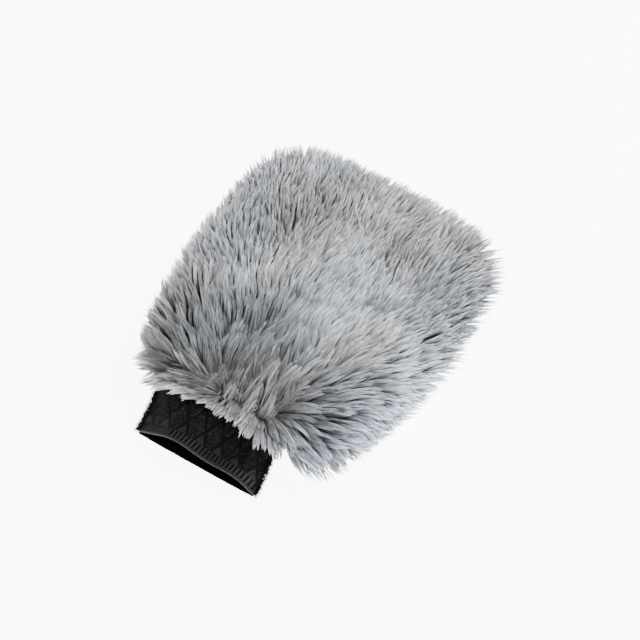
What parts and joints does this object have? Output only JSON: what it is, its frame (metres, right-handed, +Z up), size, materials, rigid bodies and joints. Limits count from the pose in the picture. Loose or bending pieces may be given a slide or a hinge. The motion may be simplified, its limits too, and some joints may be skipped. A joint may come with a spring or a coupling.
{
  "type": "wash mitt",
  "caption": "Flat rounded plush mitt with long grey pile on both sides, a hollow hand pocket and a short black knitted elastic cuff at one end.",
  "frame": {"origin": "on the resting surface, under the middle of the whole mitt", "axes": "+Y from the cuff's mouth to the closed end, +X across the width, +Z up, away from the surface"},
  "size_m": [0.24, 0.305, 0.052],
  "materials": {
    "pile": "long soft plush pile, mid grey with pale tips",
    "backing": "matte knitted ground cloth",
    "wadding": "soft open foam sheet",
    "lining": "smooth woven lining",
    "seam_tape": "matte woven tape",
    "thread": "spun thread",
    "cuff_knit": "elastic jacquard knit, charcoal on black",
    "cuff_rib": "ribbed elastic knit",
    "cuff_welt": "smooth rolled knit edge",
    "overlock_thread": "fuzzy overlock thread"
  },
  "bodies": {
    "mitt_body": {"upper_pile": "pile", "lower_pile": "pile", "upper_backing": "backing", "lower_backing": "backing", "upper_wadding": "wadding", "lower_wadding": "wadding", "upper_lining": "lining", "lower_lining": "lining", "perimeter_seam_tape": "seam_tape", "perimeter_stitching": "thread"},
    "cuff_base": {"cuff_lower_panel": "cuff_knit", "cuff_lower_rib_band": "cuff_rib", "cuff_lower_welt": "cuff_welt", "cuff_lower_join_stitching": "thread", "cuff_left_overlock": "overlock_thread", "cuff_right_overlock": "overlock_thread"},
    "cuff_top": {"cuff_upper_panel": "cuff_knit", "cuff_upper_rib_band": "cuff_rib", "cuff_upper_welt": "cuff_welt", "cuff_upper_join_stitching": "thread"}
  },
  "joints": [
    {"name": "cuff_fold", "type": "hinge", "parent": "mitt_body", "child": "cuff_base", "pos_m": [-0.01, -0.1052, 0.032], "axis": [-1, 0, 0], "range_deg": [0, 65]},
    {"name": "mouth_open", "type": "hinge", "parent": "cuff_base", "child": "cuff_top", "pos_m": [-0.01, -0.1052, 0.032], "axis": [-1, 0, 0], "range_deg": [0, 20]}
  ]
}
